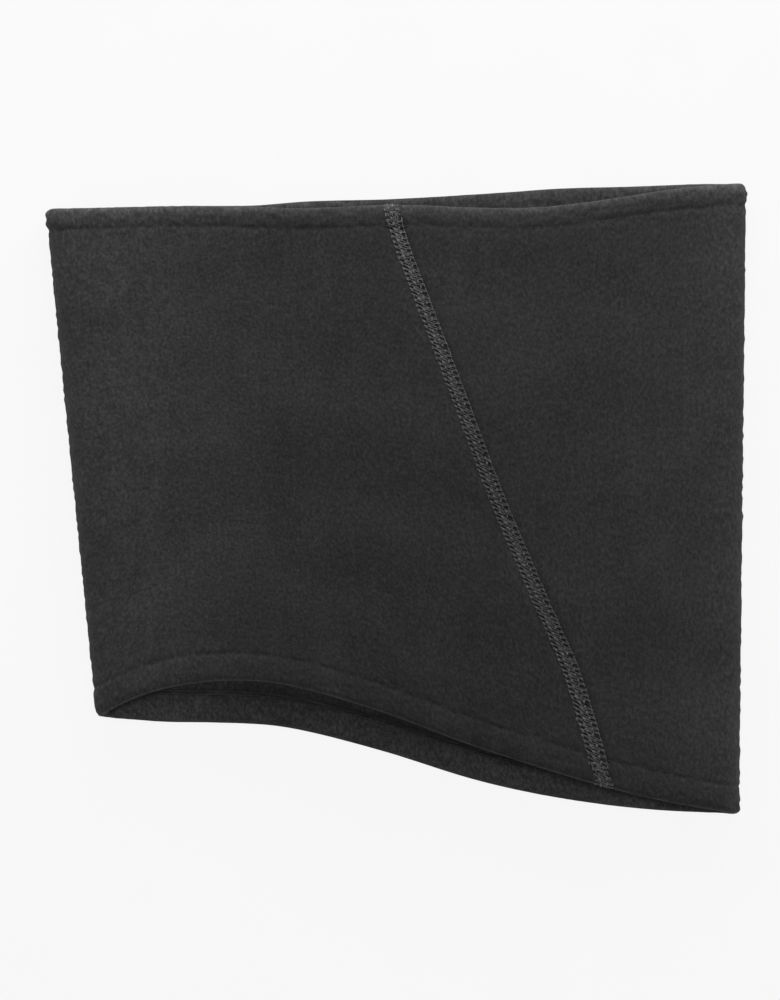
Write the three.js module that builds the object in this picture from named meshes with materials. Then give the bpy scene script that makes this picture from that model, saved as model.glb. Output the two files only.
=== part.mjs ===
// A fleece neck gaiter lying flat on its lower layer, in millimetres.
// X runs across the tube, from the fold at the back of the neck to the fold at the chest.
// Y runs along the tube, from the chest hem to the face hem. Z is up, away from the table.
//
// The tube is one piece of fleece. It is wrapped into a loop, its two slanted edges are butted
// and joined by one six-thread flatlock seam, and both rims are turned in and stitched down.
import * as THREE from "three";

// ---------------------------------------------------------------- driving dimensions

const FOLD_X = { leftTop: -135.9, leftBottom: -116.3, rightTop: 136.3, rightBottom: 133.6 };
const FOLD_RADIUS = 7.5; // outside radius of the two side folds
const DOME = { bottom: 22, top: 14, middle: 4 }; // how far the upper layer stands above the folds
const RIPPLE = 1.2; // height of the soft wave that the seam leaves in the upper layer

const FLEECE = 2.2; // thickness of the cloth
const PLY_GAP = 0.4; // between the wall and its turned-in hem
const TOP_HEM = { stitch: 8.4, edge: 9.4 }; // depths of the stitch line and of the cut edge
const BOTTOM_HEM = { stitch: 10.6, edge: 11.6 };
const GROOVE = { depth: 0.9, floor: 0.6, mouth: 1.2 }; // the furrow that a hem stitch pulls

const SEAM_GAP = 0.4; // between the two butted edges
const SEAM_LEAN = 0.94; // cosine of the seam's slant
const NEEDLE_SPACING = 1.8;
const NEEDLES = 4;
const THREAD = 0.5; // thickness of a sewing thread
const COVER = { width: 6.2, thickness: 0.4 }; // the band that a cover or looper thread fills
const CLEAR = 0.3; // gap that touching pieces keep

// Height of each rim above the tube's middle, at a share of the way from the left to the right
// fold. "Centre" is the mean of the two layers, and "opening" is how far each lies from it.
const TOP_CENTRE = [
  [0, 112.4], [0.2, 113.7], [0.32, 113.6], [0.5, 115.1],
  [0.66, 115.9], [0.8, 118.6], [0.93, 121.7], [1, 122.5],
];
const TOP_OPENING = [
  [0, 0.3], [0.28, 0.6], [0.37, 1.9], [0.5, 1.7], [0.66, 3.7], [0.74, 4.1], [0.87, 2.4], [1, 0.8],
];
const BOTTOM_CENTRE = [
  [0, -84.5], [0.08, -80.9], [0.2, -78.8], [0.3, -80.6], [0.44, -89.7],
  [0.59, -102.5], [0.73, -111.8], [0.87, -118.7], [1, -122.6],
];
const BOTTOM_OPENING = [
  [0, 5.5], [0.08, 10.4], [0.17, 10.9], [0.3, 9.5], [0.5, 7.8], [0.66, 6.6], [0.8, 4.9], [1, 1.5],
];
// The seam's place across the upper layer, from the bottom rim at 0 to the top rim at 1.
const SEAM_ACROSS = [
  [0, 0.789], [0.18, 0.7415], [0.3, 0.695], [0.45, 0.6405], [0.6, 0.5945], [0.9, 0.511], [1, 0.4915],
];

const HEM_RADIUS = (2 * FLEECE + PLY_GAP) / 2; // outside radius of a turned rim
const MEAN_WIDTH = (FOLD_X.rightTop - FOLD_X.leftTop + FOLD_X.rightBottom - FOLD_X.leftBottom) / 2;
const ARC = Math.PI * FOLD_RADIUS;
const FLAT = MEAN_WIDTH - 2 * FOLD_RADIUS;
const LOOP = 2 * (ARC + FLAT);

const mix = (a, b, t) => a + (b - a) * t;

// A smooth curve through [x, y] points, as a function of x.
function curveThrough(points) {
  const slope = points.map((_, i) => {
    const [x0, y0] = points[Math.max(i - 1, 0)];
    const [x1, y1] = points[Math.min(i + 1, points.length - 1)];
    return (y1 - y0) / (x1 - x0);
  });
  return (x) => {
    let i = 0;
    while (i < points.length - 2 && x > points[i + 1][0]) i++;
    const [x0, y0] = points[i];
    const [x1, y1] = points[i + 1];
    const span = x1 - x0;
    const t = (x - x0) / span;
    const t2 = t * t;
    const t3 = t2 * t;
    return (2 * t3 - 3 * t2 + 1) * y0 + (t3 - 2 * t2 + t) * span * slope[i]
      + (3 * t2 - 2 * t3) * y1 + (t3 - t2) * span * slope[i + 1];
  };
}

const topCentre = curveThrough(TOP_CENTRE);
const topOpening = curveThrough(TOP_OPENING);
const bottomCentre = curveThrough(BOTTOM_CENTRE);
const bottomOpening = curveThrough(BOTTOM_OPENING);
const seamAcross = curveThrough(SEAM_ACROSS);

// ---------------------------------------------------------------- the tube's outer surface

// Shares of the loop where its four stretches end. It starts at the outermost line of the left
// fold and runs over the upper layer first.
const ENDS = {
  leftArc: ARC / 2 / LOOP,
  upper: (ARC / 2 + FLAT) / LOOP,
  rightArc: (1.5 * ARC + FLAT) / LOOP,
  lower: (1.5 * ARC + 2 * FLAT) / LOOP,
};

// The loop's cross-section at a share v of the way from the bottom rim to the top rim, before
// the dome is added.
function section(share, v) {
  const q = share - Math.floor(share);
  const left = mix(FOLD_X.leftBottom, FOLD_X.leftTop, v);
  const right = mix(FOLD_X.rightBottom, FOLD_X.rightTop, v);
  const flat = right - left - 2 * FOLD_RADIUS;
  let x, z;
  if (q < ENDS.leftArc) {
    const turn = (q * LOOP) / FOLD_RADIUS;
    x = left + FOLD_RADIUS * (1 - Math.cos(turn));
    z = FOLD_RADIUS * (1 + Math.sin(turn));
  } else if (q < ENDS.upper) {
    x = left + FOLD_RADIUS + (flat * (q - ENDS.leftArc) * LOOP) / FLAT;
    z = 2 * FOLD_RADIUS;
  } else if (q < ENDS.rightArc) {
    const turn = ((q - ENDS.upper) * LOOP) / FOLD_RADIUS;
    x = right - FOLD_RADIUS * (1 - Math.sin(turn));
    z = FOLD_RADIUS * (1 + Math.cos(turn));
  } else if (q < ENDS.lower) {
    x = right - FOLD_RADIUS - (flat * (q - ENDS.rightArc) * LOOP) / FLAT;
    z = 0;
  } else {
    const turn = ((q - ENDS.lower) * LOOP) / FOLD_RADIUS;
    x = left + FOLD_RADIUS * (1 - Math.sin(turn));
    z = FOLD_RADIUS * (1 - Math.cos(turn));
  }
  const across = (x - left) / (right - left);
  return { x, z, across, layer: q < ENDS.leftArc + (FLAT + ARC / 2) / LOOP ? 1 : -1 };
}

// Heights of the bottom and top rims above a place on the loop. The opening swaps sides through
// each fold, so the rims run smoothly from one layer to the other.
function rims(across, layer) {
  const open = layer * 2 * Math.sqrt(Math.max(across * (1 - across), 0));
  return {
    bottom: bottomCentre(across) + bottomOpening(across) * open,
    top: topCentre(across) - topOpening(across) * open,
  };
}

function surface(q, v) {
  const { x, z, across, layer } = section(q, v);
  const { bottom, top } = rims(across, layer);
  const lift = z / (2 * FOLD_RADIUS);
  const arch = Math.sin(Math.PI * across);
  const dome = mix(DOME.bottom, DOME.top, v) + DOME.middle * Math.sin(Math.PI * v);
  const wave = RIPPLE * arch * Math.cos(4 * Math.PI * (across - seamAcross(v)));
  return new THREE.Vector3(x, mix(bottom, top, v), z + lift * (dome * arch + wave));
}

function heightAt(q) {
  const { across, layer } = section(q, 0.5);
  const { bottom, top } = rims(across, layer);
  return top - bottom;
}

// A point on the tube: down from the top rim or up from the bottom rim by a depth in mm, or at a
// share of the height, and out from the outer surface by a distance in mm.
function onTube(q, place) {
  let v = place.v;
  if (place.fromTop !== undefined) v = 1 - place.fromTop / heightAt(q);
  if (place.fromBottom !== undefined) v = place.fromBottom / heightAt(q);
  const step = 1e-4;
  const along = surface(q, v + step).sub(surface(q, v - step));
  const round = surface(q + step, v).sub(surface(q - step, v));
  const normal = along.cross(round).normalize().negate();
  if (section(q, v).z === 0) normal.set(0, 0, -1);
  return surface(q, v).addScaledVector(normal, place.out);
}

function seamShare(v) {
  const left = mix(FOLD_X.leftBottom, FOLD_X.leftTop, v);
  const right = mix(FOLD_X.rightBottom, FOLD_X.rightTop, v);
  const width = right - left;
  const run = (seamAcross(v) * width - FOLD_RADIUS) / (width - 2 * FOLD_RADIUS);
  return ENDS.leftArc + (run * FLAT) / LOOP;
}

// The share of the height that a place stands at, near the seam.
function shareOfHeight(place) {
  const height = heightAt(seamShare(place.fromTop === undefined ? 0 : 1));
  if (place.fromTop !== undefined) return 1 - place.fromTop / height;
  if (place.fromBottom !== undefined) return place.fromBottom / height;
  return place.v;
}

// ---------------------------------------------------------------- swept solids

// A closed body from rows of points. Each row is one closed outline, joined to the next. The
// rows either close on themselves or end in two caps, which pair the outline's first half with
// its second half.
function bodyFromRows(rows, capped) {
  const width = rows[0].length;
  const points = rows.flat();
  const faces = [];
  const addQuad = (a, b, c, d) => faces.push(a, b, c, a, c, d);
  const last = capped ? rows.length - 1 : rows.length;
  for (let i = 0; i < last; i++) {
    const near = i * width;
    const far = ((i + 1) % rows.length) * width;
    for (let k = 0; k < width; k++) {
      const m = (k + 1) % width;
      addQuad(near + k, far + k, far + m, near + m);
    }
  }
  for (let k = 0; capped && k < width / 2 - 1; k++) {
    const far = last * width;
    addQuad(k, k + 1, width - 2 - k, width - 1 - k);
    addQuad(far + k, far + width - 1 - k, far + width - 2 - k, far + k + 1);
  }
  const geometry = new THREE.BufferGeometry().setFromPoints(points).setIndex(faces);
  if (signedVolume(points, faces) < 0) geometry.index.array.reverse();
  geometry.computeVertexNormals();
  return geometry;
}

function signedVolume(points, faces) {
  let sum = 0;
  for (let i = 0; i < faces.length; i += 3) {
    const [a, b, c] = [points[faces[i]], points[faces[i + 1]], points[faces[i + 2]]];
    sum += a.dot(b.clone().cross(c));
  }
  return sum;
}

// Stations evenly spaced between two values, leaving out the last one.
function steps(from, to, count) {
  return Array.from({ length: count }, (_, i) => mix(from, to, i / count));
}

// ---------------------------------------------------------------- the fleece panel

const ARC_STEPS = 6; // in each side fold
const RIM_STEPS = 4; // in the half circle of each turned rim
const WALL_SHARES = [0.12, 0.25, 0.38, 0.5, 0.62, 0.75, 0.88]; // of the height

// The cloth's outline across one line from rim to rim: its right side from the cut edge inside
// the bottom hem to the one inside the top hem, then its wrong side all the way back.
function panelOutline() {
  const half = Math.PI / 2;
  const rim = (key, angles, radius) => angles.map((angle) => ({
    [key]: HEM_RADIUS - radius * Math.cos(angle),
    out: radius * Math.sin(angle) - HEM_RADIUS,
  }));
  const cut = (key, hem, out) => [{ [key]: hem.edge, out }];
  const furrow = (key, hem, sign, out, depth) => [
    { [key]: hem.stitch - sign * GROOVE.mouth, out },
    { [key]: hem.stitch - sign * GROOVE.floor, out: out - depth },
    { [key]: hem.stitch + sign * GROOVE.floor, out: out - depth },
    { [key]: hem.stitch + sign * GROOVE.mouth, out },
  ];
  const face = (radius, out, depth) => [
    ...cut("fromBottom", BOTTOM_HEM, -HEM_RADIUS - radius),
    ...rim("fromBottom", [...steps(-half, half, RIM_STEPS), half], radius),
    ...furrow("fromBottom", BOTTOM_HEM, 1, out, depth),
    ...WALL_SHARES.map((v) => ({ v, out })),
    ...furrow("fromTop", TOP_HEM, -1, out, depth),
    ...rim("fromTop", [...steps(half, -half, RIM_STEPS), -half], radius),
    ...cut("fromTop", TOP_HEM, -HEM_RADIUS - radius),
  ];
  return [...face(HEM_RADIUS, 0, GROOVE.depth), ...face(PLY_GAP / 2, -FLEECE, 0).toReversed()];
}

// Stations round the loop. Each is a function of v, because the first and last follow the
// slanted seam while the folds stay straight.
function panelStations() {
  const gap = SEAM_GAP / 2 / LOOP;
  const beside = COVER.width / LOOP;
  const fixed = [
    ...steps(ENDS.upper, ENDS.rightArc, ARC_STEPS),
    ...steps(ENDS.rightArc, ENDS.lower, 20),
    ...steps(ENDS.lower, 1 + ENDS.leftArc, ARC_STEPS),
  ];
  return [
    (v) => seamShare(v) + gap,
    ...steps(0, 1, 8).map((t) => (v) => mix(seamShare(v) + beside, ENDS.upper, t)),
    ...fixed.map((q) => () => q),
    ...steps(0, 1, 12).map((t) => (v) => mix(1 + ENDS.leftArc, 1 + seamShare(v) - beside, t)),
    (v) => 1 + seamShare(v) - beside,
    (v) => 1 + seamShare(v) - gap,
  ];
}

function fleecePanel() {
  const outline = panelOutline();
  const rows = panelStations().map((station) =>
    outline.map((place) => onTube(station(shareOfHeight(place)), place)));
  return bodyFromRows(rows, true);
}

// ---------------------------------------------------------------- hem threads

// A thread that goes all the way round at one depth. It lies at a distance out from the outer
// surface, and steps over the flatlock seam at another.
function hemRing(key, depth, out, outAtSeam) {
  const crossing = seamShare(shareOfHeight({ [key]: depth }));
  const half = THREAD / 2;
  const near = [9, 6.5, 4.2, 2, 0, -2, -4.2, -6.5, -9].map((mm) => crossing - mm / LOOP);
  const stations = [
    ...near,
    ...steps(near.at(-1), ENDS.upper, 5).slice(1),
    ...steps(ENDS.upper, ENDS.rightArc, ARC_STEPS),
    ...steps(ENDS.rightArc, ENDS.lower, 14),
    ...steps(ENDS.lower, 1 + ENDS.leftArc, ARC_STEPS),
    ...steps(1 + ENDS.leftArc, 1 + near[0], 10),
  ];
  const rows = stations.map((q) => {
    const away = Math.abs(q - crossing) * LOOP;
    const over = 1 - THREE.MathUtils.smoothstep(away, 4.2, 7.5);
    const middle = mix(out, outAtSeam, away > LOOP / 2 ? 0 : over);
    return [[-half, -half], [half, -half], [half, half], [-half, half]].map(([down, up]) =>
      onTube(q, { [key]: depth + down, out: middle + up }));
  });
  return bodyFromRows(rows, false);
}

// ---------------------------------------------------------------- flatlock threads

// The line that a thread on the fabric's right side follows: from the cut edge inside the top
// hem, over the top rim, down the outside, and round the bottom rim to the other cut edge.
function rightSideLine(height) {
  const half = Math.PI / 2;
  const inside = -2 * HEM_RADIUS - height;
  const rim = (key, angle) => ({
    [key]: HEM_RADIUS - (HEM_RADIUS + height) * Math.cos(angle),
    out: (HEM_RADIUS + height) * Math.sin(angle) - HEM_RADIUS,
  });
  return [
    { fromTop: TOP_HEM.edge - CLEAR, out: inside },
    ...steps(-half, half, RIM_STEPS + 2).map((angle) => rim("fromTop", angle)),
    { fromTop: HEM_RADIUS, out: height },
    ...WALL_SHARES.toReversed().map((v) => ({ v, out: height })),
    ...steps(half, -half, RIM_STEPS + 2).map((angle) => rim("fromBottom", angle)),
    { fromBottom: HEM_RADIUS, out: inside },
    { fromBottom: BOTTOM_HEM.edge - CLEAR, out: inside },
  ];
}

// The line on the wrong side of the wall, between the two cut edges.
function wrongSideLine(height) {
  return [
    { fromTop: TOP_HEM.edge + CLEAR, out: -FLEECE - height },
    ...WALL_SHARES.toReversed().map((v) => ({ v, out: -FLEECE - height })),
    { fromBottom: BOTTOM_HEM.edge + CLEAR, out: -FLEECE - height },
  ];
}

// A flat strip that follows a line on the seam, from one side of it to the other.
function seamStrip(line, from, to, low, high) {
  const corners = [[from, low], [to, low], [to, high], [from, high]];
  const lines = { [low]: line(low), [high]: line(high) };
  const rows = lines[low].map((place, i) =>
    corners.map(([side, height]) => {
      const at = lines[height][i];
      return onTube(seamShare(shareOfHeight(place)) + side / SEAM_LEAN / LOOP, at);
    }));
  return bodyFromRows(rows, true);
}

// ---------------------------------------------------------------- assembly

const FLEECE_LOOK = new THREE.MeshStandardMaterial({ color: 0x2d2d2e, roughness: 1, metalness: 0 });
const HEM_LOOK = new THREE.MeshStandardMaterial({ color: 0x1c1c1d, roughness: 0.8, metalness: 0 });
const SEAM_LOOK = new THREE.MeshStandardMaterial({ color: 0x6e6e70, roughness: 0.7, metalness: 0 });

const neckGaiter = new THREE.Group();

function add(name, geometry, look) {
  const mesh = new THREE.Mesh(geometry, look);
  mesh.name = name;
  neckGaiter.add(mesh);
}

add("fleece_panel", fleecePanel(), FLEECE_LOOK);

const coverTop = CLEAR + COVER.thickness;
const needleLow = coverTop + CLEAR;
const needleTop = needleLow + THREAD;
const side = COVER.width / 2;
add("flatlock_cover_thread", seamStrip(rightSideLine, -side, side, CLEAR, coverTop), SEAM_LOOK);
for (let i = 0; i < NEEDLES; i++) {
  const middle = (i - (NEEDLES - 1) / 2) * NEEDLE_SPACING;
  const [from, to] = [middle - THREAD / 2, middle + THREAD / 2];
  const strip = seamStrip(rightSideLine, from, to, needleLow, needleTop);
  add(`flatlock_needle_thread_${i + 1}`, strip, SEAM_LOOK);
}
add("flatlock_looper_thread", seamStrip(wrongSideLine, -side, side, CLEAR, coverTop), SEAM_LOOK);

const sunk = THREAD / 2 + CLEAR - GROOVE.depth;
const overSeam = needleTop + CLEAR + THREAD / 2;
const onPly = CLEAR + THREAD / 2;
for (const [rim, key, hem] of [["top", "fromTop", TOP_HEM], ["bottom", "fromBottom", BOTTOM_HEM]]) {
  const inside = -2 * HEM_RADIUS;
  add(`${rim}_hem_needle_thread`, hemRing(key, hem.stitch, sunk, overSeam), HEM_LOOK);
  add(`${rim}_hem_looper_thread`,
    hemRing(key, hem.stitch, inside - onPly, inside - overSeam), HEM_LOOK);
}

// The origin is the middle of the resting face's bounding box.
const box = new THREE.Box3().setFromObject(neckGaiter);
const middle = box.getCenter(new THREE.Vector3());
neckGaiter.position.set(-middle.x, -middle.y, -box.min.z);

export default neckGaiter;
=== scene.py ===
"""A dark fleece neck gaiter lying flat. Lengths are in millimetres until a mesh is built."""

import math

import bmesh
import bpy
import numpy as np
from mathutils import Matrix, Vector


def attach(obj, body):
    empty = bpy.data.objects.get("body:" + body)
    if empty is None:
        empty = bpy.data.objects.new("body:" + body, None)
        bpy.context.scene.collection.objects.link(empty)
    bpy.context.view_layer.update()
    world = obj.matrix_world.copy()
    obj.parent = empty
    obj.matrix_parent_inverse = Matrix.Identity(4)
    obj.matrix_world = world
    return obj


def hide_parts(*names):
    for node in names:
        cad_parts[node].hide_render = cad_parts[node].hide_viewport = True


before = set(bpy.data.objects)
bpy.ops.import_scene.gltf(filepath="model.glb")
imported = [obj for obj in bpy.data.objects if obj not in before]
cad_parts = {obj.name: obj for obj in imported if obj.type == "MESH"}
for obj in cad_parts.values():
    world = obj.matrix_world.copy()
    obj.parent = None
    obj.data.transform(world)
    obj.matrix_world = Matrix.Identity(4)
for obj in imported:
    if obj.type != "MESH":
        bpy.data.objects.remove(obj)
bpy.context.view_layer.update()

# ------------------------------------------------------------------ driving dimensions

FOLD_X = {"left_top": -135.9, "left_bottom": -116.3, "right_top": 136.3, "right_bottom": 133.6}
FOLD_RADIUS = 7.5
DOME_BOTTOM, DOME_TOP, DOME_MIDDLE = 22.0, 14.0, 4.0
RIPPLE = 1.2
CENTRING = np.array([-0.31, 0.02, 0.0])  # puts the bounding box's middle at the origin

FLEECE = 2.2
PLY_GAP = 0.4
HEM_RADIUS = (2 * FLEECE + PLY_GAP) / 2
TOP_HEM = {"stitch": 8.4, "edge": 9.4}
BOTTOM_HEM = {"stitch": 10.6, "edge": 11.6}

SEAM_GAP = 0.3
SEAM_LEAN = 0.94
SEAM_PITCH = 2.2
# Each needle row: the thread's radius, its slant over a stitch, the share of a stitch over which
# it rises, and its phase.
NEEDLE_ROWS = [(0.30, 0.35, 0.58, 0.0), (0.42, 1.0, 0.68, 0.38), (0.37, -0.7, 0.62, 0.74),
               (0.18, 0.2, 1.2, 1.1)]
NEEDLE_SPACING = 1.75
HEM_PITCH = 2.5
HEM_THREAD_RADIUS = 0.14
THREAD_SIDES = 6
# Each strand of the cover thread: its two sides, lag in stitches, height and radius.
COVER_STRANDS = ((-3.1, 3.1, 0.0, -0.12, 0.14), (-1.3, 1.2, 0.5, -0.26, 0.11))
# How far from the seam's two ends the loose loops of thread lie.
FACE_ENDS_AT, CHEST_ENDS_AT = 18.0, 21.0

# The run along the cloth counts from 0 at the chest rim to this at the face rim.
RUN_END = 225
RUN_MIDDLE = 112
TYPICAL_HEIGHT = 215
DRAPE_HEIGHT, DRAPE_DEPTH = 230, 1.1
LUMP_DEPTH, TUFT_DEPTH = 0.17, 0.20

# Painted light and shade: factors on the colours, fitted to the tones seen from straight above.
FACE_RIM_PAINTED_LIGHT, CHEST_RIM_PAINTED_SHADE, UNDER_SEAM_PAINTED_SHADE = 1.08, -0.15, 0.45
CUT_EDGE_PAINTED_LIGHT, BESIDE_HEM_PAINTED_LIGHT, RIM_STRIP_DARK = 1.2, 3.0, 0.4
# How much further out the upper layer's rim looks from straight above: at the folds, and the
# part that is added at the middle.
RIM_LOOKS_OUT, RIM_LOOKS_OUT_MIDDLE = 1.007, 0.01
INNER_PAINTED_LIGHT = {"wall": 2.25, "bottom_hem": 2.6, "top_hem": 1.85}

TOP_CENTRE = [(0, 112.4), (0.2, 113.7), (0.32, 113.6), (0.5, 115.1), (0.66, 115.9),
              (0.8, 118.6), (0.93, 121.7), (1, 122.5)]
TOP_OPENING = [(0, 0.3), (0.28, 0.6), (0.37, 1.9), (0.5, 1.7), (0.66, 3.7), (0.74, 4.1),
               (0.87, 2.4), (1, 0.8)]
BOTTOM_CENTRE = [(0, -84.5), (0.08, -80.9), (0.2, -78.8), (0.3, -80.6), (0.44, -89.7),
                 (0.59, -102.5), (0.73, -111.8), (0.87, -118.7), (1, -122.6)]
BOTTOM_OPENING = [(0, 5.5), (0.08, 10.4), (0.17, 10.9), (0.3, 9.5), (0.5, 7.8), (0.66, 6.6),
                  (0.8, 4.9), (1, 1.5)]
SEAM_ACROSS = [(0, 0.789), (0.18, 0.7415), (0.3, 0.695), (0.45, 0.6405), (0.6, 0.5945),
               (0.9, 0.511), (1, 0.4915)]

MEAN_WIDTH = (FOLD_X["right_top"] - FOLD_X["left_top"]
              + FOLD_X["right_bottom"] - FOLD_X["left_bottom"]) / 2
ARC = math.pi * FOLD_RADIUS
FLAT = MEAN_WIDTH - 2 * FOLD_RADIUS
LOOP = 2 * (ARC + FLAT)
LEFT_ARC_END = ARC / 2 / LOOP
UPPER_END = (ARC / 2 + FLAT) / LOOP
RIGHT_ARC_END = (1.5 * ARC + FLAT) / LOOP
LOWER_END = (1.5 * ARC + 2 * FLAT) / LOOP


def mix(a, b, t):
    return a + (b - a) * t


def smooth(low, high, x):
    t = np.clip((x - low) / (high - low), 0, 1)
    return t * t * (3 - 2 * t)


def curve_through(points):
    """A smooth curve through (x, y) points, as a function of x."""
    xs, ys = np.array(points, float).T
    before = np.maximum(np.arange(len(xs)) - 1, 0)
    after = np.minimum(np.arange(len(xs)) + 1, len(xs) - 1)
    slope = (ys[after] - ys[before]) / (xs[after] - xs[before])

    def at(x):
        i = np.clip(np.searchsorted(xs, x, side="right") - 1, 0, len(xs) - 2)
        span = xs[i + 1] - xs[i]
        t = (x - xs[i]) / span
        t2, t3 = t * t, t * t * t
        return ((2 * t3 - 3 * t2 + 1) * ys[i] + (t3 - 2 * t2 + t) * span * slope[i]
                + (3 * t2 - 2 * t3) * ys[i + 1] + (t3 - t2) * span * slope[i + 1])

    return at


top_centre, top_opening = curve_through(TOP_CENTRE), curve_through(TOP_OPENING)
bottom_centre, bottom_opening = curve_through(BOTTOM_CENTRE), curve_through(BOTTOM_OPENING)
seam_across = curve_through(SEAM_ACROSS)


# ------------------------------------------------------------------ uneven cloth

def waves(seed, count, shortest, longest):
    """A soft random function of cloth position in mm, between about -1 and 1."""
    rng = np.random.default_rng(seed)
    length = np.exp(rng.uniform(math.log(shortest), math.log(longest), count))
    turn = rng.uniform(0, 2 * math.pi, count)
    start = rng.uniform(0, 2 * math.pi, count)
    # A whole number of waves goes round the loop, so that the cloth has no step in it.
    round_loop = np.round(LOOP * np.cos(turn) / length) * 2 * math.pi / LOOP
    along = 2 * math.pi * np.sin(turn) / length

    def at(x, y):
        total = 0.0
        for kx, ky, phase in zip(round_loop, along, start):
            total = total + np.sin(kx * x + ky * y + phase)
        return total / math.sqrt(count / 2) / 2

    return at


drape = waves(3, 14, 45, 130)
lumps = waves(5, 40, 4.2, 11)
tufts = waves(8, 46, 2.6, 5)
edge_wander = waves(11, 12, 5, 30)


# ------------------------------------------------------------------ the tube's surface

def section(share, v):
    """x, z and the share of the width of a place on the loop, and its layer: 1 up, -1 down."""
    q = np.mod(share, 1.0)
    left = mix(FOLD_X["left_bottom"], FOLD_X["left_top"], v)
    right = mix(FOLD_X["right_bottom"], FOLD_X["right_top"], v)
    flat = right - left - 2 * FOLD_RADIUS
    r = FOLD_RADIUS
    parts = [q < LEFT_ARC_END, q < UPPER_END, q < RIGHT_ARC_END, q < LOWER_END]
    up = q * LOOP / r
    over = (q - UPPER_END) * LOOP / r
    back = (q - LOWER_END) * LOOP / r
    x = np.select(parts, [
        left + r * (1 - np.cos(up)),
        left + r + flat * (q - LEFT_ARC_END) * LOOP / FLAT,
        right - r * (1 - np.sin(over)),
        right - r - flat * (q - RIGHT_ARC_END) * LOOP / FLAT,
    ], left + r * (1 - np.sin(back)))
    z = np.select(parts, [r * (1 + np.sin(up)), 2 * r + 0 * q, r * (1 + np.cos(over)), 0 * q],
                  r * (1 - np.cos(back)))
    layer = np.where(q < LEFT_ARC_END + (FLAT + ARC / 2) / LOOP, 1.0, -1.0)
    return x, z, (x - left) / (right - left), layer


def rims(across, layer):
    opening = layer * 2 * np.sqrt(np.maximum(across * (1 - across), 0))
    return (bottom_centre(across) + bottom_opening(across) * opening,
            top_centre(across) - top_opening(across) * opening)


def surface(q, v):
    x, z, across, layer = section(q, v)
    bottom, top = rims(across, layer)
    lift = z / (2 * FOLD_RADIUS)
    arch = np.sin(math.pi * across)
    dome = mix(DOME_BOTTOM, DOME_TOP, v) + DOME_MIDDLE * np.sin(math.pi * v)
    wave = RIPPLE * arch * np.cos(4 * math.pi * (across - seam_across(v)))
    sag = DRAPE_DEPTH * smooth(0.3, 1, lift) * drape(q * LOOP, v * DRAPE_HEIGHT)
    return np.stack([x, mix(bottom, top, v), z + lift * (dome * arch + wave) + sag], -1)


def height_at(q):
    _, _, across, layer = section(q, 0.5)
    bottom, top = rims(across, layer)
    return top - bottom


def unit(vectors):
    return vectors / np.linalg.norm(vectors, axis=-1, keepdims=True)


def on_tube(q, v, out):
    """Points at a share q round the loop and v along it, out from the surface by mm."""
    q, v, out = np.broadcast_arrays(q, v, out)
    step = 1e-4
    along = surface(q, v + step) - surface(q, v - step)
    around = surface(q + step, v) - surface(q - step, v)
    normal = unit(np.cross(around, along))
    flat = section(q, v)[1] == 0
    normal[flat] = (0, 0, -1)
    return surface(q, v) + normal * out[..., None]


def seam_share(v):
    left = mix(FOLD_X["left_bottom"], FOLD_X["left_top"], v)
    right = mix(FOLD_X["right_bottom"], FOLD_X["right_top"], v)
    run = (seam_across(v) * (right - left) - FOLD_RADIUS) / (right - left - 2 * FOLD_RADIUS)
    return LEFT_ARC_END + run * FLAT / LOOP


def seam_spread(v):
    """How wide the stitches lie, as a factor: wider towards the chest rim."""
    return np.interp(v, [0, 0.1, 0.35, 0.6, 0.9, 1], [1.26, 1.28, 1.18, 1.06, 0.96, 0.9])


def seam_drift(v):
    """How far the stitches wander off the seam's middle in mm."""
    return np.interp(v, [0, 0.3, 0.5, 0.8, 1], [-0.2, -0.5, -0.5, -0.1, 0])


# ------------------------------------------------------------------ mesh building

def mesh_object(name, points, faces, marks):
    """A mesh from points in mm and arrays of faces. Materials can read marks, one per point."""
    mesh = bpy.data.meshes.new(name)
    coords = (np.asarray(points, float) + CENTRING) * 0.001
    corners = np.concatenate([np.full(len(f), f.shape[1]) for f in faces])
    starts = np.concatenate([[0], corners.cumsum()[:-1]])
    mesh.vertices.add(len(coords))
    mesh.vertices.foreach_set("co", coords.ravel())
    mesh.loops.add(int(corners.sum()))
    mesh.loops.foreach_set("vertex_index", np.concatenate([f.ravel() for f in faces]))
    mesh.polygons.add(len(corners))
    mesh.polygons.foreach_set("loop_start", starts.astype(np.int32))
    mesh.polygons.foreach_set("use_smooth", np.ones(len(corners), bool))
    # place_mm holds a place in mm on the cloth, or a thread's length and angle, and in z a factor
    # of painted light and shade on the colour.
    layer = mesh.attributes.new("place_mm", "FLOAT_VECTOR", "POINT")
    layer.data.foreach_set("vector", np.asarray(marks, float).ravel())
    mesh.update(calc_edges=True)
    shape = bmesh.new()
    shape.from_mesh(mesh)
    bmesh.ops.recalc_face_normals(shape, faces=shape.faces)
    shape.to_mesh(mesh)
    shape.free()
    made = bpy.data.objects.new(name, mesh)
    bpy.context.scene.collection.objects.link(made)
    return made


def grid_faces(rows, width, wrap_rows):
    """Quads between rows of points, each row a closed outline."""
    last = rows if wrap_rows else rows - 1
    i, k = np.meshgrid(np.arange(last), np.arange(width), indexing="ij")
    j, m = (i + 1) % rows, (k + 1) % width
    return np.stack([i * width + k, i * width + m, j * width + m, j * width + k],
                    -1).reshape(-1, 4)


# ------------------------------------------------------------------ the fleece panel

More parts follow.
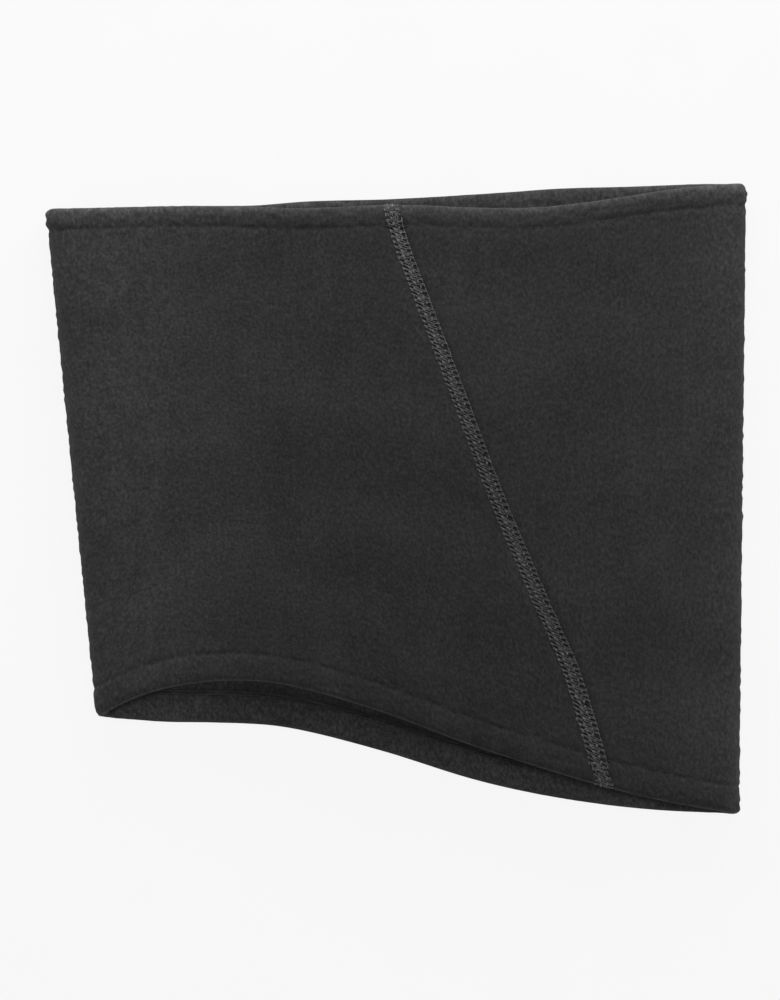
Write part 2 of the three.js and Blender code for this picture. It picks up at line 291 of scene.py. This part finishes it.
def cloth_rows(right_side):
    """One side of the cloth from cut edge to cut edge, as rows (a, b, out, run).

    A row stands at a share v = a + b / height of the tube's height, out from the tube's surface.
    Run is the distance along the cloth, the same on both sides."""
    radius = HEM_RADIUS if right_side else PLY_GAP / 2
    per_hem, per_rim, per_wall = (6, 13, 100) if right_side else (4, 7, 40)

    def hem(sizes, a, sign):
        edge, stitch = sizes["edge"], sizes["stitch"]
        rows = []

        def flat_row(depth, outer):
            nip = math.exp(-((depth - stitch) / 1.1) ** 2)
            puff = math.sin(math.pi * np.clip((depth - HEM_RADIUS) / (stitch - HEM_RADIUS), 0, 1))
            swell = (0.25 * puff - 0.36 * nip) * (1 if right_side else 0)
            # The hem is a little thinner at its cut edge.
            pressed = 0.5 * math.exp(-((depth - edge) / 0.35) ** 2) * right_side
            inner_out = -HEM_RADIUS - radius - 0.5 * swell + pressed
            out = radius - HEM_RADIUS + swell if outer else inner_out
            rows.append((a, sign * depth, out, depth if outer else -depth))

        furrow = [1.3, 0.8, 0.4, 0, -0.4, -0.8, -1.3] if right_side else [0.4, -0.4, -1.2, -1.6]
        between = np.linspace(stitch - 1.8, HEM_RADIUS + 0.9, per_hem)
        for depth in [edge, edge - 0.3, *(stitch + 0.5 * np.array(furrow)), *between]:
            flat_row(depth, False)
        for angle in np.linspace(-math.pi / 2, math.pi / 2, per_rim):
            rows.append((a, sign * (HEM_RADIUS - radius * math.cos(angle)),
                         radius * math.sin(angle) - HEM_RADIUS, HEM_RADIUS * angle * 2 / math.pi))
        for depth in [*between[::-1], *(stitch - np.array(furrow)), stitch + 2.1]:
            flat_row(depth, True)
        return rows

    start, finish = BOTTOM_HEM["stitch"] + 3.2, TOP_HEM["stitch"] + 3.2
    bottom, top = hem(BOTTOM_HEM, 0.0, 1), hem(TOP_HEM, 1.0, -1)
    wall = [(s, start * (1 - s) - finish * s, radius - HEM_RADIUS, mix(start, RUN_END - finish, s))
            for s in np.linspace(0, 1, per_wall)]
    return bottom + wall + [(a, b, out, RUN_END - run) for a, b, out, run in top[::-1]]


def panel_columns(v):
    """Shares round the loop of the panel's columns, from one cut edge to the other, at v."""
    seam = seam_share(v)
    near = np.array([0.0, 0.8, 1.7, 2.6, 3.5, 4.5, 5.7, 7.1]) / LOOP
    gap, beside = SEAM_GAP / 2 / LOOP, 8.6 / LOOP
    return np.concatenate([
        seam + gap + near,
        np.linspace(seam + beside, UPPER_END, 44)[:-1],
        np.linspace(UPPER_END, RIGHT_ARC_END, 17)[:-1],
        np.linspace(RIGHT_ARC_END, LOWER_END, 140)[:-1],
        np.linspace(LOWER_END, 1 + LEFT_ARC_END, 17)[:-1],
        np.linspace(1 + LEFT_ARC_END, 1 + seam - beside, 118),
        1 + seam - gap - near[::-1],
    ])


def panel_side(right_side):
    """Points and marks of one side of the cloth, rows first, and each row's run."""
    a, b, out, run = (np.array(rows)[:, None] for rows in zip(*cloth_rows(right_side)))
    q = np.array([panel_columns(v) for v in np.clip(a + b / TYPICAL_HEIGHT, 0, 1)[:, 0]])
    x, y = q * LOOP, run + 0 * q
    # The cut edge wanders a little under the hem.
    loose = np.exp(-((np.minimum(run, RUN_END - run) + 9.8) / 1.6) ** 2)
    b = b + np.sign(b) * 0.5 * loose * edge_wander(x, 60.0 * a)
    v = a + b / height_at(q)
    face = 1.0 if right_side else -1.0
    uneven = LUMP_DEPTH * lumps(x, y) + TUFT_DEPTH * tufts(x, y)
    uneven = uneven * (1.0 if right_side else 0.6)
    uneven = uneven * (1 + 1.1 * np.exp(-((np.minimum(run, RUN_END - run) - 1) / 3) ** 2))
    seam = np.abs(across_seam(q, v) - seam_drift(v)) / seam_spread(v)
    on_wall = (run > HEM_RADIUS) & (run < RUN_END - HEM_RADIUS)
    under = np.exp(-(seam / 3.5) ** 4)
    # The cloth lies lower under the seam, and a little higher beside it.
    pull = -0.35 * under + 0.25 * np.exp(-((seam - 5.2) / 1.6) ** 2)
    turned = np.where((run < 0) | (run > RUN_END), -1.0, 1.0)
    grown = face * turned * uneven * (1 - 0.8 * under) + np.where(on_wall, pull, 0) * right_side
    points = on_tube(q, v, out + grown)
    # The lower layer bears on the table.
    points[..., 2] = np.maximum(points[..., 2], 0.0)
    return points, np.stack([x, y, painted_shading_of(q, run, under * on_wall, right_side)], -1), run[:, 0]


def painted_shading_of(q, run, under_seam, right_side):
    """Painted light and shade: how light the cloth is drawn, as a factor on its colour, fitted as
    seen from straight above.
    """
    past_rim = np.maximum(-run, run - RUN_END)
    at_top = run > RUN_MIDDLE
    # Painted light: lighter towards the folds.
    _, _, across, layer = section(q, 0.5)
    away = across - 0.56
    side = np.where(away < 0, np.abs(away / 0.5) ** 3, 0.75 * (away / 0.44) ** 4)
    shade = 0.85 + 0.80 * np.minimum(side, 0.66)
    if right_side:
        # Painted shade: darker under the seam. A painted highlight: lighter over the face rim.
        # Painted shade: a little darker over the chest rim.
        shade = shade * (1 - UNDER_SEAM_PAINTED_SHADE * under_seam)
        at_rim = np.exp(-((past_rim + 0.8) / 2.4) ** 2)
        shade = shade * (1 + np.where(at_top, FACE_RIM_PAINTED_LIGHT, CHEST_RIM_PAINTED_SHADE) * at_rim)
        # Painted light: the turned-in hems are lighter, the chest hem more so towards the chest
        # fold.
        chestward = np.interp(across, [0.2, 0.5, 0.85], [0.81, 1.23, 1.42])
        chest_hem = INNER_PAINTED_LIGHT["bottom_hem"] * chestward
        turned_in = np.where(at_top, INNER_PAINTED_LIGHT["top_hem"], chest_hem)
        shade = shade * mix(1, turned_in, smooth(0, 2.8, past_rim - np.where(layer > 0, 1.7, 0.2)))
        # A painted shadow: the strip of the lower chest hem along the upper layer's rim, where a
        # camera straight above sees that rim, is darker.
        looks_out = RIM_LOOKS_OUT + RIM_LOOKS_OUT_MIDDLE * np.sin(math.pi * across)
        over_y = rims(across, 1)[0] * looks_out
        from_under = over_y - rims(across, -1)[0] - past_rim
        lower_hem = (layer < 0) & (past_rim > 0) & ~at_top
        strip = mix(RIM_STRIP_DARK, 1, smooth(-0.2, 2.8, from_under))
        shade = shade * np.where(lower_hem, strip, 1)
        # Painted highlight: the hems' cut edges are drawn lighter.
        cut = np.where(at_top, TOP_HEM["edge"], BOTTOM_HEM["edge"])
        return shade * (1 + CUT_EDGE_PAINTED_LIGHT * (past_rim > cut - 0.4))
    # Painted light: the wrong side of the cloth, inside the tube, is drawn lighter, and more so in
    # a strip just past the chest hem's cut edge.
    beside_hem = np.where(at_top, 0, np.exp(-((run - BOTTOM_HEM["stitch"] - 1.3) / 0.45) ** 2))
    return shade * INNER_PAINTED_LIGHT["wall"] * (1 + BESIDE_HEM_PAINTED_LIGHT * beside_hem)


def zip_edges(a, b, run_a, run_b):
    """Triangles between two lines of points, matched by how far along them each point is."""
    faces, i, j = [], 0, 0
    while i < len(a) - 1 or j < len(b) - 1:
        if j == len(b) - 1 or (i < len(a) - 1 and run_a[i + 1] <= run_b[j + 1]):
            faces.append((a[i], a[i + 1], b[j]))
            i += 1
        else:
            faces.append((a[i], b[j + 1], b[j]))
            j += 1
    return np.array(faces)


def across_seam(q, v):
    """Distance in mm from the seam's middle, square to the seam, positive to the right."""
    away = q - seam_share(v)
    return (away - np.round(away)) * LOOP * SEAM_LEAN


def build_panel():
    right, right_marks, right_run = panel_side(True)
    wrong, wrong_marks, wrong_run = panel_side(False)
    rows, columns = right.shape[:2]
    ids = np.arange(rows * columns).reshape(rows, columns)
    back = np.arange(wrong.shape[0] * columns).reshape(-1, columns) + rows * columns

    def quads(grid):
        return np.stack([grid[:-1, :-1], grid[:-1, 1:], grid[1:, 1:], grid[1:, :-1]],
                        -1).reshape(-1, 4)

    faces = [quads(ids), quads(back), quads(np.stack([ids[0], back[0]])),
             quads(np.stack([ids[-1], back[-1]]))]
    faces += [zip_edges(ids[:, k], back[:, k], right_run, wrong_run) for k in (0, -1)]
    return mesh_object("fleece",
                       np.concatenate([right.reshape(-1, 3), wrong.reshape(-1, 3)]), faces,
                       np.concatenate([right_marks.reshape(-1, 3), wrong_marks.reshape(-1, 3)]))


# ------------------------------------------------------------------ threads

def tube(path, radius, normals, closed=False, tone=1.0):
    """Points, faces and marks of a round thread along a path in mm."""
    if closed:
        tangent = np.roll(path, -1, axis=0) - np.roll(path, 1, axis=0)
        length = np.linalg.norm(np.roll(path, -1, axis=0) - path, axis=1).cumsum()
    else:
        tangent = np.gradient(path, axis=0)
        length = np.concatenate([[0], np.linalg.norm(np.diff(path, axis=0), axis=1).cumsum()])
    tangent = unit(tangent)
    binormal = unit(np.cross(tangent, normals))
    normal = np.cross(binormal, tangent)
    angle = np.linspace(0, 2 * math.pi, THREAD_SIDES, endpoint=False)
    radius = np.broadcast_to(radius, (len(path),))
    ring = (np.cos(angle)[None, :, None] * normal[:, None, :]
            + np.sin(angle)[None, :, None] * binormal[:, None, :])
    points = path[:, None, :] + ring * radius[:, None, None]
    # The marks' z is the tone: painted light and shade, as a factor on the thread's colour.
    marks = np.stack([np.broadcast_to(length[:, None], points.shape[:2]),
                      np.broadcast_to(angle[None, :], points.shape[:2]),
                      np.broadcast_to(np.asarray(tone)[..., None], points.shape[:2])], -1)
    faces = [grid_faces(len(path), THREAD_SIDES, closed)]
    if not closed:
        last_ring = (len(path) - 1) * THREAD_SIDES
        faces.append(np.arange(THREAD_SIDES) + np.array([[0], [last_ring]]))
    return points.reshape(-1, 3), faces, marks.reshape(-1, 3)


def join_tubes(name, parts):
    points, faces, marks, offset = [], [], [], 0
    for p, f, m in parts:
        points.append(p)
        faces += [face + offset for face in f]
        marks.append(m)
        offset += len(p)
    return mesh_object(name, np.concatenate(points), faces, np.concatenate(marks))


def seam_line(outside):
    """Places down the seam's middle on one side of the cloth: v, out, and mm along the line."""
    v, out = [], []
    if outside:
        tall_top, tall_bottom = height_at(seam_share(1.0)), height_at(seam_share(0.0))
        half = math.pi / 2
        for depth in np.linspace(TOP_HEM["edge"] - 0.4, HEM_RADIUS + 0.4, 12):
            v.append(1 - depth / tall_top)
            out.append(-2 * HEM_RADIUS)
        for angle in np.linspace(-half, half, 16):
            v.append(1 - HEM_RADIUS * (1 - math.cos(angle)) / tall_top)
            out.append(HEM_RADIUS * (math.sin(angle) - 1))
        top, bottom = 1 - HEM_RADIUS / tall_top, HEM_RADIUS / tall_bottom
        for s in np.linspace(0, 1, 240)[1:-1]:
            v.append(mix(top, bottom, s))
            out.append(0.0)
        for angle in np.linspace(half, -half, 16):
            v.append(HEM_RADIUS * (1 - math.cos(angle)) / tall_bottom)
            out.append(HEM_RADIUS * (math.sin(angle) - 1))
        for depth in np.linspace(HEM_RADIUS + 0.4, BOTTOM_HEM["edge"] - 0.4, 12):
            v.append(depth / tall_bottom)
            out.append(-2 * HEM_RADIUS)
    else:
        top = 1 - (TOP_HEM["edge"] + 0.5) / height_at(seam_share(1.0))
        bottom = (BOTTOM_HEM["edge"] + 0.5) / height_at(seam_share(0.0))
        for s in np.linspace(0, 1, 200):
            v.append(mix(top, bottom, s))
            out.append(-FLEECE)
    v, out = np.array(v), np.array(out)
    middle = on_tube(seam_share(v), v, out)
    run = np.concatenate([[0], np.linalg.norm(np.diff(middle, axis=0), axis=1).cumsum()])
    return v, out, run


def follow_seam(line, run, side, height):
    """Points on the seam: mm along the line, mm to the right of its middle, mm off the cloth."""
    v_line, out_line, run_line = line
    # The rim turns over, so a height off the cloth is taken along the turned surface.
    def place(run, more=0.0):
        v, out = np.interp(run, run_line, v_line), np.interp(run, run_line, out_line)
        aside = (side * seam_spread(v) + seam_drift(v)) / SEAM_LEAN + more
        return on_tube(seam_share(v) + aside / LOOP, v, out)

    base, ahead, behind = place(run), place(run + 0.3), place(run - 0.3)
    beside = place(run, 0.5)
    normal = unit(np.cross(beside - base, behind - ahead))
    # On the wrong side of the cloth, off the cloth is inward.
    if out_line[0] == -FLEECE:
        normal = -normal
    return base + normal * height[:, None], normal


def seam_painted_shading(share):
    """Painted light and shade on the thread down the seam, as a factor on its colour, from 0 at the
    face rim, where it is lightest.
    """
    return np.interp(share, [0, 0.1, 0.18, 0.42, 0.7, 0.85, 1], [1.35, 1.2, 0.95, 0.69, 0.72, 1, 1])


def build_seam():
    line = seam_line(True)
    total = line[2][-1]
    rng = np.random.default_rng(21)
    made = []
    stitches = int(total / SEAM_PITCH)
    pitch = total / stitches
    run = np.linspace(0.2, total - 0.2, stitches * 14)
    for i, (size, slant, share, phase) in enumerate(NEEDLE_ROWS):
        phase = run / pitch + phase
        number = np.floor(phase).astype(int)
        in_stitch = phase - number - 0.5
        jitter = rng.normal(0, 0.4 if i == 3 else 1, (number.max() + 2, 4))[number]
        lift = np.cos(math.pi * np.clip(in_stitch / (share * (1 + 0.1 * jitter[:, 3])), -0.5, 0.5))
        lift = lift ** 0.7
        side = (i - 1.5) * NEEDLE_SPACING + 0.22 * jitter[:, 0] * lift + slant * in_stitch
        size = size * np.clip(1 + 0.2 * jitter[:, 1], 0.6, 1.3) * (0.4 + 0.6 * lift)
        height = -0.85 + (0.86 + 0.16 * np.clip(jitter[:, 2], -2, 1)) * lift
        path, normal = follow_seam(line, run, side, height)
        stitch_row = tube(path, size, normals=normal, tone=seam_painted_shading(run / total))
        piece = join_tubes(f"seam_needle_row_{i + 1}", [stitch_row])
        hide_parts(f"flatlock_needle_thread_{i + 1}")
        made.append(piece)

    # The cover thread swings from side to side over the needle rows, once in each stitch.
    parts = []
    for near, far, lag, low, thick in COVER_STRANDS:
        run = np.linspace(0.3, total - 0.3, stitches * 18)
        phase = run / pitch + lag
        number = np.floor(phase).astype(int)
        jitter = rng.normal(0, 1, (number.max() + 2, 2))
        swing = phase - np.floor(phase)
        across = 2 * np.abs(swing - np.floor(swing + 0.5))
        across = mix(across, smooth(0, 1, across), 0.6) * 2 - 1
        side = mix(near, far, (across + 1) / 2)
        slide = pitch * (1.05 + 0.2 * jitter[number, 1]) * np.sin(math.pi * swing)
        weave = np.cos(2 * math.pi * side / NEEDLE_SPACING)
        height = low - 0.02 + 0.14 * weave + 0.12 * (1 - np.abs(across))
        path, normal = follow_seam(line, np.clip(run + slide, 0.1, total - 0.1), side, height)
        parts.append(tube(path, thick, normals=normal, tone=seam_painted_shading(run / total)))
    parts += loose_ends(line, total, rng)
    cover = join_tubes("seam_cover_thread", parts)
    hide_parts("flatlock_cover_thread")
    made.append(cover)

    line = seam_line(False)
    total = line[2][-1]
    stitches = int(total / SEAM_PITCH)
    run = np.linspace(0.3, total - 0.3, stitches * 16)
    swing = (run / total * stitches) % 1
    across = 4 * np.abs(swing - np.floor(swing + 0.5)) - 1
    side = across * 2.9
    height = 0.12 + 0.12 * np.cos(2 * math.pi * side / NEEDLE_SPACING)
    path, normal = follow_seam(line, run + 0.5 * np.sin(2 * math.pi * swing), side, height)
    parts = [tube(path, 0.2, normals=normal)]
    for i in range(4):
        phase = (run / total * stitches + 0.23 * i) % 1
        lift = np.sin(math.pi * phase) ** 0.6
        side = np.full(run.shape, (i - 1.5) * NEEDLE_SPACING)
        path, normal = follow_seam(line, run, side, -0.25 + 0.5 * lift)
        parts.append(tube(path, 0.24 * (0.65 + 0.35 * lift), normals=normal))
    looper = join_tubes("seam_looper_thread", parts)
    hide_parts("flatlock_looper_thread")
    made.append(looper)
    return made


def loose_ends(line, total, rng):
    """Small free loops of thread on the seam, near the two rims."""
    parts = []
    for where, count in ((total - CHEST_ENDS_AT, 5), (FACE_ENDS_AT, 4)):
        for _ in range(count):
            t = np.linspace(0, 1, 26)
            turn = rng.uniform(0, 2 * math.pi)
            reach = rng.uniform(0.6, 1.3)
            wander = rng.uniform(-1.9, 1.9)
            sweep = rng.uniform(1.1, 1.7) * math.pi
            run = where + reach * np.cos(turn + sweep * t) * (1 + 0.4 * t) + rng.uniform(-2, 1)
            side = wander + reach * np.sin(turn + sweep * t)
            height = 0.1 + 0.75 * np.sin(math.pi * t) ** 0.7
            path, normal = follow_seam(line, np.clip(run, 0.4, total - 0.4), side, height)
            parts.append(tube(path, 0.17, normals=normal))
    return parts


def build_hem_thread(name, node, at_top, inside):
    """A hem's row of stitches, all the way round."""
    sizes = TOP_HEM if at_top else BOTTOM_HEM
    stitches = int(LOOP / HEM_PITCH)
    per = 10
    q = np.arange(stitches * per) / (stitches * per)
    height = height_at(q)
    depth = sizes["stitch"] + 0.12 * edge_wander(q * LOOP, 40.0 * at_top)
    v = 1 - depth / height if at_top else depth / height
    phase = (q * stitches) % 1
    # The thread rises in each stitch and dives between two. Outside, it is nearly all in the pile.
    show = np.clip(np.sin(math.pi * phase) * 1.5, 0, 1) ** 0.5
    crossing = np.exp(-(across_seam(q, v) / 4.6) ** 6)
    if inside:
        out = -2 * HEM_RADIUS + 0.40 - 0.34 * show - 0.9 * crossing
    else:
        out = -0.82 + 0.30 * show + crossing * 1.1
    out = np.where(show < 0.35, out + (0.35 - show) * (1.2 if inside else -1.2), out)
    path = on_tube(q, v, out)
    normal = unit(on_tube(q, v, out + 0.5) - path)
    radius = HEM_THREAD_RADIUS * (0.7 + 0.3 * show)
    piece = join_tubes(name, [tube(path, radius, normals=normal, closed=True)])
    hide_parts(node)
    return piece


# ------------------------------------------------------------------ materials

class Nodes:
    """A small helper that adds nodes to one material."""

    def __init__(self, name):
        self.material = bpy.data.materials.new(name)
        self.material.use_nodes = True
        self.tree = self.material.node_tree
        self.shader = self.tree.nodes["Principled BSDF"]

    def add(self, kind, values=None, links=None, **settings):
        node = self.tree.nodes.new(kind)
        for key, value in settings.items():
            setattr(node, key, value)
        for key, value in (values or {}).items():
            node.inputs[key].default_value = value
        for key, source in (links or {}).items():
            self.tree.links.new(source, node.inputs[key])
        return node

    def maths(self, operation, a, b):
        node = self.add("ShaderNodeMath", operation=operation)
        for socket, value in zip(node.inputs, (a, b)):
            if isinstance(value, (int, float)):
                socket.default_value = value
            else:
                self.tree.links.new(value, socket)
        return node.outputs[0]

    def noise(self, vector, scale, detail=3.0, roughness=0.55):
        return self.add("ShaderNodeTexNoise",
                        {"Scale": scale, "Detail": detail, "Roughness": roughness},
                        {"Vector": vector}).outputs["Fac"]

    def ramp(self, factor, stops):
        node = self.add("ShaderNodeValToRGB", links={"Fac": factor})
        ramp = node.color_ramp
        while len(ramp.elements) < len(stops):
            ramp.elements.new(0.5)
        for element, (position, colour) in zip(ramp.elements, stops):
            element.position = position
            element.color = (*colour, 1.0)
        return node.outputs["Color"]


def grey(value):
    return (value, value, value)


FLEECE_GREYS = (0.0062, 0.0162, 0.0325)
SEAM_THREAD_GREY, HEM_THREAD_GREY = 0.072, 0.011
# The floor's own colour is dark, and nearly all its white is its glow.
FLOOR_GREYS, FLOOR_GLOW = (0.040, 0.044), 0.895


def fleece_material():
    n = Nodes("charcoal_fleece")
    place = n.add("ShaderNodeAttribute", attribute_name="place_mm").outputs["Vector"]
    # The tufts are longer along the tube than across it.
    lie = n.add("ShaderNodeMapping", {"Scale": (0.92, 0.62, 1.0)}, {"Vector": place})
    tuft = n.noise(lie.outputs[0], 0.95, 4.0, 0.62)
    fine = n.noise(place, 2.6, 3.0, 0.6)
    streak_place = n.add("ShaderNodeMapping", {"Scale": (1.0, 0.09, 1.0)}, {"Vector": place})
    streak = n.noise(streak_place.outputs[0], 0.32, 3.0, 0.55)
    cloud = n.noise(place, 0.042, 3.0, 0.6)
    grain = n.maths("ADD", n.maths("MULTIPLY", tuft, 0.62), n.maths("MULTIPLY", fine, 0.38))
    tone = n.maths("ADD", n.maths("MULTIPLY", grain, 0.81),
                   n.maths("ADD", n.maths("MULTIPLY", streak, 0.06),
                           n.maths("MULTIPLY", cloud, 0.13)))
    colour = n.ramp(tone, [(at, grey(level)) for at, level in zip((0.36, 0.5, 0.64), FLEECE_GREYS)])
    # The marks' z is painted light and shade, a factor on the colour.
    shade = n.add("ShaderNodeSeparateXYZ", links={"Vector": place}).outputs["Z"]
    with_painted_shading = n.add("ShaderNodeVectorMath", operation="SCALE")
    n.tree.links.new(colour, with_painted_shading.inputs[0])
    n.tree.links.new(shade, with_painted_shading.inputs["Scale"])
    n.tree.links.new(with_painted_shading.outputs[0], n.shader.inputs["Base Color"])
    n.shader.inputs["Roughness"].default_value = 1.0
    n.shader.inputs["Specular IOR Level"].default_value = 0.15
    n.shader.inputs["Sheen Weight"].default_value = 0.07
    n.shader.inputs["Sheen Roughness"].default_value = 0.65
    n.shader.inputs["Sheen Tint"].default_value = (*grey(0.62), 1.0)
    bump = n.add("ShaderNodeBump", {"Strength": 0.75, "Distance": 0.0006}, {"Height": grain})
    n.tree.links.new(bump.outputs["Normal"], n.shader.inputs["Normal"])
    return n.material


def thread_material(name, shade, sheen):
    n = Nodes(name)
    place = n.add("ShaderNodeAttribute", attribute_name="place_mm").outputs["Vector"]
    parts = n.add("ShaderNodeSeparateXYZ", links={"Vector": place})
    # Two plies twisted together: ridges that climb round the thread along its length.
    twist = n.maths("SINE", n.maths("ADD", n.maths("MULTIPLY", parts.outputs["X"], 7.0),
                                    n.maths("MULTIPLY", parts.outputs["Y"], 2.0)), 0.0)
    uneven = n.noise(place, 0.9, 3.0, 0.6)
    tone = n.maths("ADD", n.maths("MULTIPLY", twist, 0.10), uneven)
    colour = n.ramp(tone, [(0.34, grey(shade * 0.5)), (0.52, grey(shade)),
                           (0.72, grey(shade * 1.5))])
    # Painted light and shade: the marks' z scales the colour down the seam; it is 1 on the other
    # threads.
    toned = n.add("ShaderNodeVectorMath", operation="SCALE")
    n.tree.links.new(colour, toned.inputs[0])
    n.tree.links.new(parts.outputs["Z"], toned.inputs["Scale"])
    n.tree.links.new(toned.outputs[0], n.shader.inputs["Base Color"])
    n.shader.inputs["Roughness"].default_value = 0.62
    n.shader.inputs["Sheen Weight"].default_value = sheen
    n.shader.inputs["Sheen Roughness"].default_value = 0.4
    bump = n.add("ShaderNodeBump", {"Strength": 0.5, "Distance": 0.0001}, {"Height": twist})
    n.tree.links.new(bump.outputs["Normal"], n.shader.inputs["Normal"])
    return n.material


def floor_material():
    n = Nodes("pale_floor")
    spot = n.add("ShaderNodeTexCoord").outputs["Object"]
    speck = n.noise(spot, 30.0, 2.0)
    colour = n.ramp(speck, [(0.3, grey(FLOOR_GREYS[0])), (0.7, grey(FLOOR_GREYS[1]))])
    n.tree.links.new(colour, n.shader.inputs["Base Color"])
    n.shader.inputs["Roughness"].default_value = 0.9
    n.shader.inputs["Specular IOR Level"].default_value = 0.0
    n.shader.inputs["Emission Color"].default_value = (1, 1, 1, 1)
    n.shader.inputs["Emission Strength"].default_value = FLOOR_GLOW
    return n.material


# ------------------------------------------------------------------ assembly

panel = build_panel()
panel.data.materials.append(fleece_material())
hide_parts("fleece_panel")

seam_look = thread_material("seam_thread", SEAM_THREAD_GREY, 0.1)
hem_look = thread_material("hem_thread", HEM_THREAD_GREY, 0.05)
threads = build_seam()
for piece in threads:
    piece.data.materials.append(seam_look)
for rim, at_top in (("top", True), ("bottom", False)):
    for role, inside in (("needle", False), ("looper", True)):
        piece = build_hem_thread(f"{rim}_hem_{role}_stitches", f"{rim}_hem_{role}_thread",
                                 at_top, inside)
        piece.data.materials.append(hem_look)
        threads.append(piece)
for piece in [panel, *threads]:
    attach(piece, "root")

# ------------------------------------------------------------------ stage

bpy.ops.mesh.primitive_plane_add(size=6.0, location=(0, 0, -0.0002))
floor = bpy.context.object
floor.name = "floor"
floor.data.materials.append(floor_material())

world = bpy.data.worlds.new("studio")
bpy.context.scene.world = world
world.use_nodes = True
background = world.node_tree.nodes["Background"]
background.inputs["Color"].default_value = (1, 1, 1, 1)
direction = world.node_tree.nodes.new("ShaderNodeTexCoord")
height = world.node_tree.nodes.new("ShaderNodeSeparateXYZ")
sky = world.node_tree.nodes.new("ShaderNodeMapRange")
sky.inputs["From Min"].default_value, sky.inputs["From Max"].default_value = 0.0, 0.85
sky.inputs["To Min"].default_value, sky.inputs["To Max"].default_value = 0.55, 0.7
world.node_tree.links.new(direction.outputs["Generated"], height.inputs[0])
world.node_tree.links.new(height.outputs["Z"], sky.inputs["Value"])
world.node_tree.links.new(sky.outputs["Result"], background.inputs["Strength"])


def softbox(name, place, size, power, aim=(0, 0, 0)):
    light = bpy.data.lights.new(name, "AREA")
    light.shape = "RECTANGLE"
    light.size, light.size_y = size
    light.energy = power
    made = bpy.data.objects.new(name, light)
    bpy.context.scene.collection.objects.link(made)
    made.location = place
    direction = np.array(aim, float) - np.array(place, float)
    made.rotation_euler = Vector(direction).to_track_quat("-Z", "Y").to_euler()
    return made


softbox("top_softbox", (0.05, 0.62, 0.38), (0.8, 0.3), 6.5)

camera_data = bpy.data.cameras.new("camera")
camera_data.lens = 200
camera_data.sensor_width = 36
camera = bpy.data.objects.new("camera", camera_data)
bpy.context.scene.collection.objects.link(camera)
camera.location = (-0.0024, -0.0005, 2.167)
camera.rotation_euler = (0, 0, 0)
bpy.context.scene.camera = camera
bpy.context.scene.view_settings.view_transform = "Standard"
